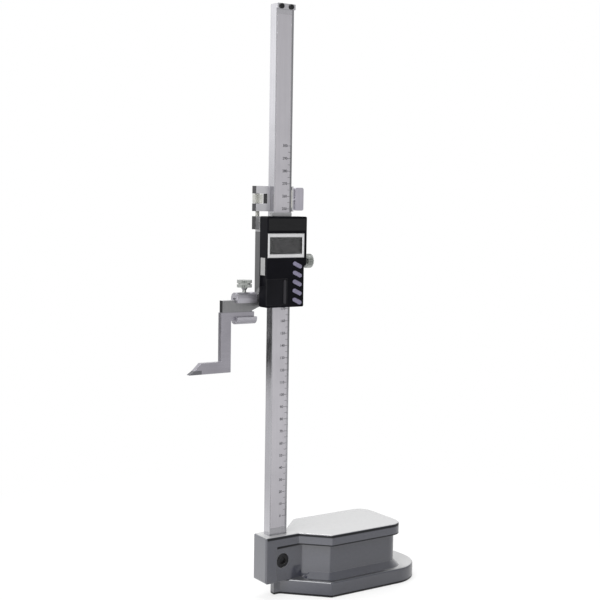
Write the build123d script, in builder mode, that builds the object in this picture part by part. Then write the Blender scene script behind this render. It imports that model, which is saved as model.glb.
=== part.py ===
from build123d import *
import os
from math import sqrt

# Digital height gauge, 0 to 300 mm, in millimetres.
# Origin: centre of the foot's lapped underside. +X runs from the nose towards the hand grip,
# -Y is the display side, +Z is up the column.

os.makedirs("parts", exist_ok=True)

# ---------------------------------------------------------------- driving dimensions
# Base casting
foot_length = 137.0
foot_width = 66.5
foot_thickness = 13.0
foot_front_width = 4.8
foot_flare_start = 6.1          # from the foot's front end to the start of the flare
foot_rear_flat = 6.5            # straight part of the rear end, between its round corners
foot_edge_radius = 1.8
foot_chamfer = 1.0              # round the underside
base_height = 51.0
top_flange_thickness = 9.4
top_width = 59.0
top_rear_setback = 22.0         # the top flange ends this far before the foot's rear end
top_rear_radius = 13.0
nose_width = 19.6
nose_reach = 12.5               # the nose stands out this far beyond the foot
nose_length = 32.0              # straight part of the nose, before the flare
nose_solid = 10.5               # full-width part of the nose, before the grip relief
nose_step = 1.0                 # the relief starts with this step behind the nose
neck_relief = 2.8
waist_inset = 5.5
waist_rear_setback = 2.5
waist_spread = 5.0              # height and width of the slope between the waist and the foot
edge_radius = 1.5
casting_corner = 3.0
relief_depth = 1.5
relief_rim = 11.0
relief_land = 24.0              # solid land left across the middle of the underside

# Column and scale
column_width = 17.0
column_thickness = 8.5
column_setback = 6.5            # nose front face to the column
column_seat = 16.0              # height of the pocket floor in the nose
column_top = 477.0
bevel_width = 2.2
bevel_depth = 0.8
scale_margin = 0.9
scale_thickness = 0.8
scale_start = 57.0
scale_end_gap = 8.0             # bare steel between the strip and the column's top
stop_height = 4.4
stop_thickness = 1.4
stop_screw_spacing = 9.0
stop_screw_diameter = 2.5
stop_screw_head = 4.2
clamp_screw_diameter = 12.0
clamp_screw_height = 30.0
clamp_screw_offset = 2.0        # beside the column's centre line
clamp_screw_sink = 1.6          # the screw's face lies this far inside the nose's side
clamp_pad_thickness = 1.0
dowel_diameter = 4.0
dowel_height = 20.5             # blind from the far side, low in the nose
dowel_length = 14.0

# Slider
slider_left_wall = 9.6
slider_right_wall = 5.6
slider_front_plate = 2.95
slider_bottom = 239.2           # the position shown; the travel is 300 mm
slider_height = 71.0
slider_back_depth = 3.4
tab_left = 3.7                  # the top tab stands this far left of the column
tab_length = 18.7
tab_height = 3.2
back_plate_thickness = 3.0
back_plate_overlap = 4.9
back_plate_end_gap = 2.5
plate_screw_diameter = 2.0
plate_screw_head = 3.8
plate_screw_length = 4.0        # thread below the back plate
gib_thickness = 1.2
gib_end_gap = 3.0
gib_screw_diameter = 3.0
gib_screw_spacing = 46.0
gib_screw_length = 4.6
jaw_thickness = 4.5
jaw_height = 9.4
jaw_drop = 4.2                  # the jaw's underside lies this far below the slider's body
jaw_reach = 35.3                # jaw length beyond the slider's left face
jaw_root_height = 9.0
jaw_root_length = 10.3
lug_reach = 3.5
lug_depth = 6.0
lug_height = 10.4

# Fine adjustment
carriage_gap = 0.8
carriage_height = 20.0
carriage_wall = 1.7
carriage_gib_thickness = 0.8
carriage_wall_setback = 1.6     # the right wall starts this far behind the column's front
carriage_web = 2.7              # wall left between the nut's window and the column
window_height = 7.8
screw_diameter = 3.5
screw_from_column = 10.0        # screw axis left of the column
screw_behind_centre = 4.25
nut_diameter = 8.4
nut_height = 7.3
pin_diameter = 1.5
spade_height = 18.4
spade_width = 8.0
spade_gap = 2.2                 # bare shank between the carriage and the spade
spade_thickness = 4.0
spade_shank = 4.0

# Lock screw
lock_from_bottom = 35.0         # above the underside of the slider's body
lock_diameter = 11.6
lock_head = 5.0
lock_neck = 9.6
lock_shank = 5.0

# Display unit
display_width = 37.3
display_overhang = 4.9          # left of the slider's left face
display_depth = 11.0
display_drop = 0.4              # the display reaches this far below the slider's body
display_height = 71.7
display_step = 2.3
display_step_height = 31.5
display_wall = 1.6
front_wall = 2.2
display_corner = 1.2
bezel_margin = 0.5
bezel_width = 34.3
bezel_height = 19.3
bezel_from_top = 13.3
bezel_side = 2.0
bezel_bar = 3.1
bezel_proud = 0.6
bezel_depth = 1.5
window_thickness = 1.2
cell_thickness = 1.8
cell_border = 0.5
strip_width = 1.6
top_panel_height = 9.4
top_panel_from_top = 1.7
top_panel_margin = 1.2
top_panel_thickness = 0.7
board_thickness = 1.0
board_gap = 1.3
head_width = 12.0
head_height = 34.0
head_gap = 0.3
head_clearance = 0.5            # all round the head in the slider's opening
head_above_middle = 5.0
boss_diameter = 5.0
boss_side_gap = 0.2             # the upper bosses stand this far inside the column's width
boss_bottom_gap = 3.5           # below the lower boss
case_screw_diameter = 2.0
case_screw_length = 7.2
case_screw_head = 3.8

# Buttons
button_count = 5
button_pitch = 7.15
button_length = 8.8
button_width = 3.3
button_slant = -25.0
button_proud = 0.7
button_travel = 0.5
button_flange = 0.25
button_from_right = 8.8         # centre line, from the display's wide right edge
button_bottom = 4.7             # lowest centre, from the display's bottom
pad_margin = 1.2

# Battery
battery_diameter = 11.6
battery_thickness = 5.4
battery_cover_width = 19.4
battery_cover_height = 20.9
battery_cover_from_bottom = 1.8
battery_cover_thickness = 1.3
battery_rib_width = 2.2
battery_rib_proud = 0.7
battery_rib_inset = 2.6         # rib's centre line, from the cover's right edge
battery_rib_end_gap = 1.0
contact_thickness = 0.3

# Data port
port_width = 6.6
port_height = 13.8
port_from_top = 32.5
port_from_back = 1.4
port_cover_thickness = 1.0
port_cover_travel = 9.0
port_body_width = 4.4
port_body_height = 9.0
port_body_depth = 3.0

# Scriber group
scriber_drop = 47.4             # from the jaw's underside down to the scriber's edge
scriber_leg = 8.9
scriber_overreach = 1.0         # the leg stands out this far beyond the jaw's end
scriber_shank_height = 6.0
scriber_shank_length = 30.0
scriber_foot_height = 8.7
scriber_foot_reach = 17.5       # leg to the start of the bevel
scriber_bevel = 10.4
tip_length = 10.9
tip_height = 3.1
tip_nose = 4.6
clamp_length = 18.0
clamp_from_jaw_end = 12.0
clamp_wall = 2.9
clamp_floor = 3.65
clamp_roof = 4.4
clamp_pad_gap = 1.5
clamp_lip = 2.2                 # the lips reach this far over the jaw and the scriber
clamp_round = 4.8
pad_thickness = 1.0
pad_end_gap = 1.0
thumb_groove = 0.9
thumb_diameter = 11.8
thumb_head = 5.9
thumb_neck = 3.9
thumb_cone = 2.2                # height of the cone under the head
thumb_stem = 3.0

# Fits and clearances
slide_clearance = 0.06          # flat guides that slide
running_clearance = 0.05        # shafts that turn in holes, on the radius
seat_clearance = 0.03           # pieces that are fixed together
free_clearance = 0.30           # curved faces that pass each other
flute_count = 24
flute_depth = 0.45

# ---------------------------------------------------------------- places worked out from them
foot_front = -foot_length / 2
foot_rear = foot_length / 2
foot_rear_radius = (foot_width - foot_rear_flat) / 2
nose_front = foot_front - nose_reach
column_left = nose_front + column_setback
column_right = column_left + column_width
column_x = (column_left + column_right) / 2
column_front = -column_thickness / 2
column_back = column_thickness / 2

channel_left = column_left - slide_clearance
channel_right = column_right + gib_thickness + 2 * slide_clearance
channel_front = column_front - slide_clearance
channel_back = column_back + slide_clearance
slider_left = channel_left - slider_left_wall
slider_right = channel_right + slider_right_wall
slider_front = channel_front - slider_front_plate
slider_back = channel_back + slider_back_depth
slider_top = slider_bottom + slider_height
tab_top = slider_top + tab_height
slider_middle = slider_bottom + slider_height / 2

screw_x = column_left - screw_from_column
screw_y = screw_behind_centre
lug_front = screw_y - lug_depth / 2
lug_back = screw_y + lug_depth / 2
lug_left = slider_left - lug_reach

carriage_bottom = tab_top + carriage_gap
carriage_top = carriage_bottom + carriage_height
carriage_left = lug_left
carriage_channel = column_right + carriage_gib_thickness + 2 * slide_clearance
carriage_right = carriage_channel + carriage_wall
window_bottom = carriage_bottom + (carriage_height - window_height) / 2
window_top = window_bottom + window_height
nut_bottom = window_bottom + (window_height - nut_height) / 2

lock_height = slider_bottom + lock_from_bottom
display_left = slider_left - display_overhang
display_bottom = slider_bottom - display_drop
display_right = display_left + display_width
display_narrow_right = display_right - display_step
display_back = slider_front
display_front = display_back - display_depth
display_top = display_bottom + display_height
display_step_z = display_bottom + display_step_height
inner_front = display_front + front_wall
board_back = display_back - board_gap
board_front = board_back - board_thickness
case_screw_rim = case_screw_head / 2 - 2 * running_clearance
case_screw_cone = case_screw_rim - case_screw_diameter / 2

bezel_left = display_left + bezel_margin
bezel_right = bezel_left + bezel_width
bezel_top = display_top - bezel_from_top
bezel_bottom = bezel_top - bezel_height
view_left = bezel_left + bezel_side
view_right = bezel_right - bezel_side
view_top = bezel_top - bezel_bar
view_bottom = bezel_bottom + bezel_bar

jaw_end = slider_left - jaw_reach
jaw_underside = slider_bottom - jaw_drop
jaw_top = jaw_underside + jaw_height
scriber_left = jaw_end - scriber_overreach
scriber_top = jaw_underside - slide_clearance
scriber_side = jaw_thickness / 2
scriber_zero = jaw_underside - scriber_drop
shank_bottom = scriber_top - scriber_shank_height
clamp_left = jaw_end + clamp_from_jaw_end
clamp_right = clamp_left + clamp_length
clamp_x = (clamp_left + clamp_right) / 2
clamp_window_bottom = shank_bottom - slide_clearance
clamp_window_top = jaw_top + clamp_pad_gap
clamp_bottom = clamp_window_bottom - clamp_floor
clamp_top = clamp_window_top + clamp_roof
clamp_side = scriber_side + slide_clearance + clamp_wall

gib_bottom = slider_bottom + gib_end_gap
gib_top = slider_top - gib_end_gap
gib_left = column_right + slide_clearance
gib_side = column_thickness / 2 - bevel_depth - slide_clearance

clamp_screw_x = column_x + clamp_screw_offset
clamp_screw_seat = column_thickness / 2 + seat_clearance + clamp_pad_thickness
clamp_screw_length = nose_width / 2 - clamp_screw_seat - clamp_screw_sink


# ---------------------------------------------------------------- small helpers
def rectangle_between(low, high, mode=Mode.ADD):
    """A rectangle in the sketch that is being drawn, given by two opposite corners."""
    with Locations(((low[0] + high[0]) / 2, (low[1] + high[1]) / 2)):
        Rectangle(high[0] - low[0], high[1] - low[1], mode=mode)


def facing_back(y):
    """A plane at this y whose normal is +Y. Its own x runs towards -X."""
    return Plane(origin=(0, y, 0), x_dir=(-1, 0, 0), z_dir=(0, 1, 0))


def mirrored(spots):
    return [(-x, z) for x, z in spots]


def flutes(radius, depth, count):
    """Small notches round a knob's edge, cut in the sketch that is being drawn."""
    with PolarLocations(radius, count):
        Rectangle(2 * depth, 2 * depth, rotation=45, mode=Mode.SUBTRACT)


def save(part, name):
    part.label = name
    export_step(part, f"parts/{name}.step")


def base_outline(front, front_half, flare_x, half, rear, rear_radius, corner):
    """Outline of the base from above: a narrow front, a 45 degree flare and a rounded rear."""
    flare_end = flare_x + half - front_half
    with BuildSketch() as outline:
        with BuildLine():
            Polyline((front, -front_half), (flare_x, -front_half), (flare_end, -half), (rear, -half),
                     (rear, half), (flare_end, half), (flare_x, front_half), (front, front_half),
                     close=True)
        make_face()
        ends = outline.vertices().group_by(Axis.X)
        fillet(ends[-1], radius=rear_radius)
        fillet(outline.vertices().group_by(Axis.X)[1:3], radius=corner)
    return outline.sketch


# ---------------------------------------------------------------- base casting
nose_half = nose_width / 2
nose_end = nose_front + nose_solid
foot_plan = base_outline(foot_front, foot_front_width / 2, foot_front + foot_flare_start, foot_width / 2,
                         foot_rear, foot_rear_radius, casting_corner)
top_rear = foot_rear - top_rear_setback
flare_x = nose_front + nose_length
top_plan = base_outline(nose_front, nose_half, flare_x, top_width / 2,
                        top_rear, top_rear_radius, casting_corner)
neck_x = flare_x + waist_inset * sqrt(2) - neck_relief
neck_half = nose_half - neck_relief
waist_half = top_width / 2 - waist_inset
waist_rear = top_rear - waist_rear_setback
waist_plan = base_outline(nose_end, neck_half, neck_x, waist_half,
                          waist_rear, top_rear_radius - waist_rear_setback, casting_corner)
flange_underside = base_height - top_flange_thickness

with BuildPart() as base_casting:
    with BuildSketch():
        add(foot_plan)
    extrude(amount=foot_thickness)
    fillet(base_casting.faces().sort_by(Axis.Z)[-1].edges(), radius=foot_edge_radius)
    chamfer(base_casting.faces().sort_by(Axis.Z)[0].edges(), length=foot_chamfer)
    # waist, tapered neck and nose
    with BuildSketch(Plane.XY.offset(foot_thickness)):
        add(waist_plan)
        with BuildLine():
            Polyline((nose_end, nose_half - nose_step), (neck_x, neck_half), (neck_x, -neck_half),
                     (nose_end, nose_step - nose_half), close=True)
        make_face()
        rectangle_between((nose_front, -nose_half), (nose_end, nose_half))
    extrude(amount=flange_underside - foot_thickness)
    # the waist spreads at 45 degrees where it stands on the foot
    with BuildSketch(Plane.XY.offset(foot_thickness)):
        offset(waist_plan, amount=waist_spread, kind=Kind.INTERSECTION)
        rectangle_between((nose_front, -foot_width), (neck_x, foot_width), Mode.SUBTRACT)
    extrude(amount=waist_spread, taper=45)
    with BuildSketch(Plane.XY.offset(flange_underside)):
        add(top_plan)
    extrude(amount=top_flange_thickness)
    # worn edges round the nose's end and all round the top
    fillet(base_casting.faces().sort_by(Axis.X)[0].edges().sort_by(Axis.Z)[:-1], radius=edge_radius)
    fillet(base_casting.faces().sort_by(Axis.Z)[-1].edges(), radius=edge_radius)
    # pocket for the column
    with BuildSketch(Plane.XY.offset(column_seat)):
        with Locations((column_x, 0)):
            Rectangle(column_width + 2 * seat_clearance, column_thickness + 2 * seat_clearance)
    extrude(amount=base_height, mode=Mode.SUBTRACT)
    # threaded hole of the clamp screw, through the near cheek of the nose
    with BuildSketch(Plane.XZ.offset(column_thickness / 2)):
        with Locations((clamp_screw_x, clamp_screw_height)):
            Circle(clamp_screw_diameter / 2)
    extrude(amount=nose_half, mode=Mode.SUBTRACT)
    # dowel hole, blind from the far side
    with BuildSketch(Plane.XZ.offset(-nose_half)):
        with Locations((column_x, dowel_height)):
            Circle(dowel_diameter / 2)
    extrude(amount=dowel_length, mode=Mode.SUBTRACT)
    # two shallow reliefs leave a lapped rim and a land across the middle of the underside
    with BuildSketch():
        offset(foot_plan, amount=-relief_rim)
        rectangle_between((-relief_land / 2, -foot_width), (relief_land / 2, foot_width), Mode.SUBTRACT)
        rectangle_between((foot_front, -foot_width), (foot_front + nose_length, foot_width), Mode.SUBTRACT)
    extrude(amount=relief_depth, mode=Mode.SUBTRACT)
save(base_casting.part, "base_casting")

with BuildPart() as column_dowel:
    with BuildSketch(Plane.XZ.offset(edge_radius - nose_half)):
        with Locations((column_x, dowel_height)):
            Circle(dowel_diameter / 2 - seat_clearance)
    extrude(amount=dowel_length - edge_radius - seat_clearance)
    chamfer(column_dowel.edges().filter_by(GeomType.CIRCLE), length=dowel_diameter / 10)
save(column_dowel.part, "column_dowel")

with BuildPart() as clamp_screw:
    with BuildSketch(Plane.XZ.offset(clamp_screw_seat)):
        with Locations((clamp_screw_x, clamp_screw_height)):
            Circle(clamp_screw_diameter / 2 - seat_clearance)
    extrude(amount=clamp_screw_length)
    chamfer(clamp_screw.edges().filter_by(GeomType.CIRCLE), length=clamp_screw_diameter / 16)
    with BuildSketch(Plane.XZ.offset(clamp_screw_seat + clamp_screw_length)):
        with Locations((clamp_screw_x, clamp_screw_height)):
            RegularPolygon(clamp_screw_diameter / 4, 6, major_radius=False)
    extrude(amount=-clamp_screw_length * 0.6, mode=Mode.SUBTRACT)
save(clamp_screw.part, "column_clamp_screw")

with BuildPart() as clamp_pad:
    with BuildSketch(Plane.XZ.offset(column_thickness / 2 + seat_clearance)):
        with Locations((clamp_screw_x, clamp_screw_height)):
            Circle(clamp_screw_diameter / 2 - seat_clearance)
    extrude(amount=clamp_pad_thickness)
save(clamp_pad.part, "column_clamp_pad")

# ---------------------------------------------------------------- column, scale and stop
scale_left = column_left + scale_margin
scale_right = column_right - bevel_width - scale_margin / 2
scale_top = column_top - scale_end_gap
stop_middle = column_top - stop_height / 2

with BuildPart() as column:
    with BuildSketch(Plane.XY.offset(column_seat)):
        with BuildLine():
            Polyline((column_left, column_front), (column_right - bevel_width, column_front),
                     (column_right, column_front + bevel_depth), (column_right, column_back),
                     (column_left, column_back), close=True)
        make_face()
    extrude(amount=column_top - column_seat)
    chamfer(column.faces().sort_by(Axis.Z)[-1].edges(), length=column_thickness / 20)
    # groove for the scale
    with BuildSketch(Plane.XZ.offset(column_thickness / 2)):
        rectangle_between((scale_left, scale_start), (scale_right, scale_top))
    extrude(amount=-scale_thickness, mode=Mode.SUBTRACT)
    # threaded holes of the stop, and the dowel hole
    with BuildSketch(Plane.XZ.offset(column_thickness / 2)):
        with Locations((column_x, stop_middle)):
            with GridLocations(stop_screw_spacing, 0, 2, 1):
                Circle(stop_screw_diameter / 2)
    extrude(amount=-column_thickness / 2, mode=Mode.SUBTRACT)
    with BuildSketch(Plane.XZ.offset(-nose_half)):
        with Locations((column_x, dowel_height)):
            Circle(dowel_diameter / 2)
    extrude(amount=dowel_length, mode=Mode.SUBTRACT)
save(column.part, "column")

with BuildPart() as scale_strip:
    with BuildSketch(Plane.XZ.offset(column_thickness / 2)):
        rectangle_between((scale_left + seat_clearance, scale_start + seat_clearance),
                          (scale_right - seat_clearance, scale_top - seat_clearance))
    extrude(amount=-scale_thickness)
save(scale_strip.part, "scale_strip")

with BuildPart() as stop_plate:
    with BuildSketch(Plane.XZ.offset(column_thickness / 2)):
        with Locations((column_x, stop_middle)):
            RectangleRounded(column_width, stop_height, stop_height / 8)
            with GridLocations(stop_screw_spacing, 0, 2, 1):
                Circle(stop_screw_diameter / 2, mode=Mode.SUBTRACT)
    extrude(amount=stop_thickness)
save(stop_plate.part, "column_stop")

with BuildPart() as stop_screws:
    with BuildSketch(Plane.XZ.offset(column_thickness / 2 + stop_thickness)):
        with Locations((column_x, stop_middle)):
            with GridLocations(stop_screw_spacing, 0, 2, 1):
                Circle(stop_screw_head / 2)
    extrude(amount=stop_screw_diameter / 3)
    with BuildSketch(Plane.XZ.offset(column_thickness / 2 + stop_thickness)):
        with Locations((column_x, stop_middle)):
            with GridLocations(stop_screw_spacing, 0, 2, 1):
                Circle(stop_screw_diameter / 2 - seat_clearance)
    extrude(amount=-(stop_thickness + column_thickness / 2.5))
save(stop_screws.part, "column_stop_screws")

# ---------------------------------------------------------------- slider
plate_left = channel_left - back_plate_overlap
plate_right = slider_right - (slider_right_wall - back_plate_overlap * 0.75)
case_screw_spots = [
    (column_left + boss_diameter / 2 + boss_side_gap, display_top - boss_diameter),
    (column_right - boss_diameter / 2 - boss_side_gap, display_top - boss_diameter),
    (column_x - boss_diameter, display_bottom + boss_diameter / 2 + boss_bottom_gap),
]
head_x = column_x
head_bottom = slider_middle - head_height / 2 + head_above_middle

plate_screw_x = ((plate_left + channel_left) / 2, (plate_right + channel_right) / 2)
plate_screw_z = (slider_bottom + back_plate_end_gap + plate_screw_head,
                 slider_top - back_plate_end_gap - plate_screw_head)
plate_screw_spots = [(x, z) for x in plate_screw_x for z in plate_screw_z]
plate_back = channel_back + back_plate_thickness
plate_screw_rim = plate_screw_head / 2 - 2 * running_clearance
plate_screw_cone = plate_screw_rim - plate_screw_diameter / 2

with BuildPart() as slider_body:
    # U-shaped channel round the column, open at the back
    with BuildSketch(Plane.XY.offset(slider_bottom)):
        rectangle_between((slider_left, slider_front), (slider_right, slider_back))
        rectangle_between((channel_left, channel_front), (channel_right, slider_back), Mode.SUBTRACT)
    extrude(amount=slider_height)
    # rebate for the back plate
    with BuildSketch(Plane.XY.offset(slider_bottom)):
        rectangle_between((plate_left, channel_back), (plate_right, slider_back))
    extrude(amount=slider_height, mode=Mode.SUBTRACT)
    # raised tab in front of the column, above the display
    with BuildSketch(Plane.XY.offset(slider_top)):
        rectangle_between((column_left - tab_left, slider_front),
                          (column_left - tab_left + tab_length, channel_front))
    extrude(amount=tab_height)
    # measuring jaw with its sloped root
    with BuildSketch(Plane.XZ):
        with BuildLine():
            Polyline((jaw_end, jaw_underside), (slider_left - jaw_root_length, jaw_underside),
                     (slider_left, slider_bottom), (channel_left, slider_bottom),
                     (channel_left, jaw_top + jaw_root_height), (slider_left, jaw_top + jaw_root_height),
                     (slider_left - jaw_root_height * 0.6, jaw_top), (jaw_end, jaw_top), close=True)
        make_face()
    extrude(amount=jaw_thickness / 2, both=True)
    # lug of the fine adjustment, level with the top of the body
    with BuildSketch(Plane.XY.offset(slider_top - lug_height)):
        rectangle_between((lug_left, lug_front), (slider_left, lug_back))
    extrude(amount=lug_height)
    with BuildSketch(Plane.XY.offset(slider_top - lug_height)):
        with Locations((screw_x, screw_y)):
            Circle(screw_diameter / 2 + seat_clearance)
    extrude(amount=lug_height, mode=Mode.SUBTRACT)
    with BuildSketch(Plane.XZ.offset(-slider_back)):
        with Locations((screw_x, slider_top - lug_height / 2)):
            Circle(pin_diameter / 2 + seat_clearance)
    extrude(amount=slider_back - lug_front, mode=Mode.SUBTRACT)
    # opening for the reading head and the countersunk holes of the display's screws
    with BuildSketch(Plane.XZ.offset(-channel_front)):
        with Locations((head_x, head_bottom + head_height / 2)):
            Rectangle(head_width + 2 * head_clearance, head_height + 2 * head_clearance)
    extrude(amount=slider_front_plate, mode=Mode.SUBTRACT)
    with Locations(facing_back(channel_front)):
        with Locations(*mirrored(case_screw_spots)):
            CounterSinkHole(case_screw_diameter / 2 + running_clearance, case_screw_head / 2,
                            depth=slider_front_plate, counter_sink_angle=90)
    # threaded holes of the back plate's screws
    with BuildSketch(facing_back(channel_back - plate_screw_length)):
        with Locations(*mirrored(plate_screw_spots)):
            Circle(plate_screw_diameter / 2 + seat_clearance)
    extrude(amount=plate_screw_length, mode=Mode.SUBTRACT)
    # right wall: lock screw and the two set screws of the gib
    with BuildSketch(Plane.YZ.offset(channel_right)):
        with Locations((0, lock_height)):
            Circle(lock_shank / 2 + running_clearance)
        with Locations((0, slider_middle)):
            with GridLocations(0, gib_screw_spacing, 1, 2):
                Circle(gib_screw_diameter / 2 + seat_clearance)
    extrude(amount=slider_right_wall, mode=Mode.SUBTRACT)
save(slider_body.part, "slider_body")

with BuildPart() as slider_back_plate:
    with BuildSketch(Plane.XZ.offset(-channel_back)):
        rectangle_between((plate_left + seat_clearance, slider_bottom + back_plate_end_gap),
                          (plate_right - seat_clearance, slider_top - back_plate_end_gap))
    extrude(amount=-back_plate_thickness)
    chamfer(slider_back_plate.faces().sort_by(Axis.Y)[-1].edges(), length=back_plate_thickness / 6)
    with Locations(facing_back(plate_back)):
        with Locations(*mirrored(plate_screw_spots)):
            CounterSinkHole(plate_screw_diameter / 2 + running_clearance, plate_screw_head / 2,
                            counter_sink_angle=90)
save(slider_back_plate.part, "slider_back_plate")

with BuildPart() as slider_back_screws:
    for x, z in plate_screw_spots:
        with Locations(facing_back(plate_back - running_clearance)):
            with Locations((-x, z)):
                Cone(plate_screw_diameter / 2, plate_screw_rim, plate_screw_cone,
                     align=(Align.CENTER, Align.CENTER, Align.MAX))
    with BuildSketch(facing_back(channel_back - plate_screw_length)):
        with Locations(*mirrored(plate_screw_spots)):
            Circle(plate_screw_diameter / 2)
    extrude(amount=plate_screw_length + back_plate_thickness - running_clearance - plate_screw_cone)
save(slider_back_screws.part, "slider_back_screws")

with BuildPart() as slider_gib:
    with BuildSketch(Plane.YZ.offset(gib_left)):
        rectangle_between((-gib_side, gib_bottom), (gib_side, gib_top))
    extrude(amount=gib_thickness)
save(slider_gib.part, "slider_gib")

gib_back = gib_left + gib_thickness
with BuildPart() as gib_set_screws:
    with BuildSketch(Plane.YZ.offset(gib_back + seat_clearance)):
        with Locations((0, slider_middle)):
            with GridLocations(0, gib_screw_spacing, 1, 2):
                Circle(gib_screw_diameter / 2)
    extrude(amount=gib_screw_length)
save(gib_set_screws.part, "gib_set_screws")

lock_start = slider_right + lock_neck
with BuildPart() as slider_lock_screw:
    with BuildSketch(Plane.YZ.offset(lock_start)):
        with Locations((0, lock_height)):
            Circle(lock_diameter / 2)
            flutes(lock_diameter / 2, flute_depth, flute_count)
    extrude(amount=lock_head)
    with BuildSketch(Plane.YZ.offset(gib_back + running_clearance)):
        with Locations((0, lock_height)):
            Circle(lock_shank / 2)
    extrude(amount=lock_start - gib_back)
save(slider_lock_screw.part, "slider_lock_screw")

# ---------------------------------------------------------------- fine adjustment
with BuildPart() as fine_adjust_screw:
    with BuildSketch(Plane.XY.offset(slider_top - lug_height)):
        with Locations((screw_x, screw_y)):
            Circle(screw_diameter / 2)
    extrude(amount=carriage_top - slider_top + lug_height)
    chamfer(fine_adjust_screw.edges().sort_by(Axis.Z)[-1], length=screw_diameter / 8)
    with BuildSketch(Plane.XZ.offset(-slider_back)):
        with Locations((screw_x, slider_top - lug_height / 2)):
            Circle(pin_diameter / 2 + seat_clearance)
    extrude(amount=slider_back - lug_front, mode=Mode.SUBTRACT)
save(fine_adjust_screw.part, "fine_adjust_screw")

with BuildPart() as fine_adjust_pin:
    with BuildSketch(Plane.XZ.offset(-lug_back)):
        with Locations((screw_x, slider_top - lug_height / 2)):
            Circle(pin_diameter / 2)
    extrude(amount=lug_depth)
save(fine_adjust_pin.part, "fine_adjust_pin")

with BuildPart() as carriage_body:
    # fork of the nut beside the column, bridge behind it and a thin right wall
    with BuildSketch(Plane.XY.offset(carriage_bottom)):
        rectangle_between((carriage_left, lug_front), (channel_left, lug_back))
        rectangle_between((carriage_left, channel_back), (carriage_right, lug_back))
        rectangle_between((carriage_channel, column_front + carriage_wall_setback),
                          (carriage_right, lug_back))
    extrude(amount=carriage_height)
    # window of the nut, open to the left, front and back
    with BuildSketch(Plane.XZ.offset(-lug_back)):
        rectangle_between((carriage_left, window_bottom), (channel_left - carriage_web, window_top))
    extrude(amount=lug_depth, mode=Mode.SUBTRACT)
    # clearance holes of the fine-adjustment screw in both arms
    with BuildSketch(Plane.XY.offset(carriage_bottom)):
        with Locations((screw_x, screw_y)):
            Circle(screw_diameter / 2 + free_clearance)
    extrude(amount=carriage_height, mode=Mode.SUBTRACT)
    with BuildSketch(Plane.YZ.offset(carriage_channel)):
        with Locations((0, carriage_bottom + carriage_height / 2)):
            Circle(spade_shank / 2 + running_clearance)
    extrude(amount=carriage_wall, mode=Mode.SUBTRACT)
save(carriage_body.part, "carriage_body")

with BuildPart() as carriage_gib:
    with BuildSketch(Plane.YZ.offset(gib_left)):
        rectangle_between((-gib_side, carriage_bottom + gib_end_gap),
                          (gib_side, carriage_top - gib_end_gap))
    extrude(amount=carriage_gib_thickness)
save(carriage_gib.part, "carriage_gib")

spade_z = carriage_bottom + carriage_height / 2
spade_start = carriage_right + spade_gap
with BuildPart() as carriage_clamp_screw:
    with BuildSketch(Plane.XZ):
        with Locations((spade_start + spade_width / 2, spade_z)):
            RectangleRounded(spade_width, spade_height, spade_width / 5)
    extrude(amount=spade_thickness / 2, both=True)
    with BuildSketch(Plane.YZ.offset(spade_start)):
        with Locations((0, spade_z)):
            Circle(spade_shank / 2)
    extrude(amount=carriage_channel - spade_start)
save(carriage_clamp_screw.part, "carriage_clamp_screw")

with BuildPart() as fine_adjust_nut:
    with BuildSketch(Plane.XY.offset(nut_bottom)):
        with Locations((screw_x, screw_y)):
            Circle(nut_diameter / 2)
            flutes(nut_diameter / 2, flute_depth, flute_count)
            Circle(screw_diameter / 2 + running_clearance, mode=Mode.SUBTRACT)
    extrude(amount=nut_height)
save(fine_adjust_nut.part, "fine_adjust_nut")

# ---------------------------------------------------------------- scriber group
with BuildPart() as scriber_clamp:
    with BuildSketch(Plane.YZ.offset(clamp_left)):
        with Locations((0, (clamp_bottom + clamp_top) / 2)):
            RectangleRounded(2 * clamp_side, clamp_top - clamp_bottom, clamp_round)
        rectangle_between((-scriber_side - slide_clearance, clamp_window_bottom),
                          (scriber_side + slide_clearance, clamp_window_top), Mode.SUBTRACT)
    extrude(amount=clamp_length)
    # slot along the front, between the lips that hold the jaw and the scriber
    with BuildSketch(Plane.YZ.offset(clamp_left)):
        rectangle_between((-clamp_side, clamp_window_bottom + clamp_lip), (0, jaw_top - clamp_lip))
    extrude(amount=clamp_length, mode=Mode.SUBTRACT)
    with BuildSketch(Plane.XY.offset(clamp_window_top)):
        with Locations((clamp_x, 0)):
            Circle(thumb_stem / 2 + running_clearance)
    extrude(amount=clamp_roof, mode=Mode.SUBTRACT)
save(scriber_clamp.part, "scriber_clamp")

with BuildPart() as scriber_clamp_pad:
    with BuildSketch(Plane.XY.offset(jaw_top + slide_clearance)):
        with Locations((clamp_x, 0)):
            Rectangle(clamp_length - 2 * pad_end_gap, jaw_thickness)
    extrude(amount=pad_thickness)
save(scriber_clamp_pad.part, "scriber_clamp_pad")

thumb_base = clamp_top + thumb_neck
thumb_tip = jaw_top + slide_clearance + pad_thickness + running_clearance
with BuildPart() as scriber_clamp_screw:
    # stem, cone under the head, and the head in two tiers with a groove between them
    with BuildSketch(Plane.XZ):
        with BuildLine():
            Polyline((0, thumb_tip), (thumb_stem / 2, thumb_tip), (thumb_stem / 2, thumb_base - thumb_cone),
                     (thumb_stem, thumb_base), (0, thumb_base), close=True)
        make_face()
    revolve(axis=Axis.Z)
    for tier in (0, 1):
        with BuildSketch(Plane.XY.offset(thumb_base + tier * (thumb_head + thumb_groove) / 2)):
            Circle(thumb_diameter / 2)
            flutes(thumb_diameter / 2, flute_depth, flute_count)
        extrude(amount=(thumb_head - thumb_groove) / 2)
    with BuildSketch(Plane.XY.offset(thumb_base)):
        Circle(thumb_diameter / 2 - 2 * flute_depth)
    extrude(amount=thumb_head)
save(Location((clamp_x, 0, 0)) * scriber_clamp_screw.part, "scriber_clamp_screw")

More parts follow.
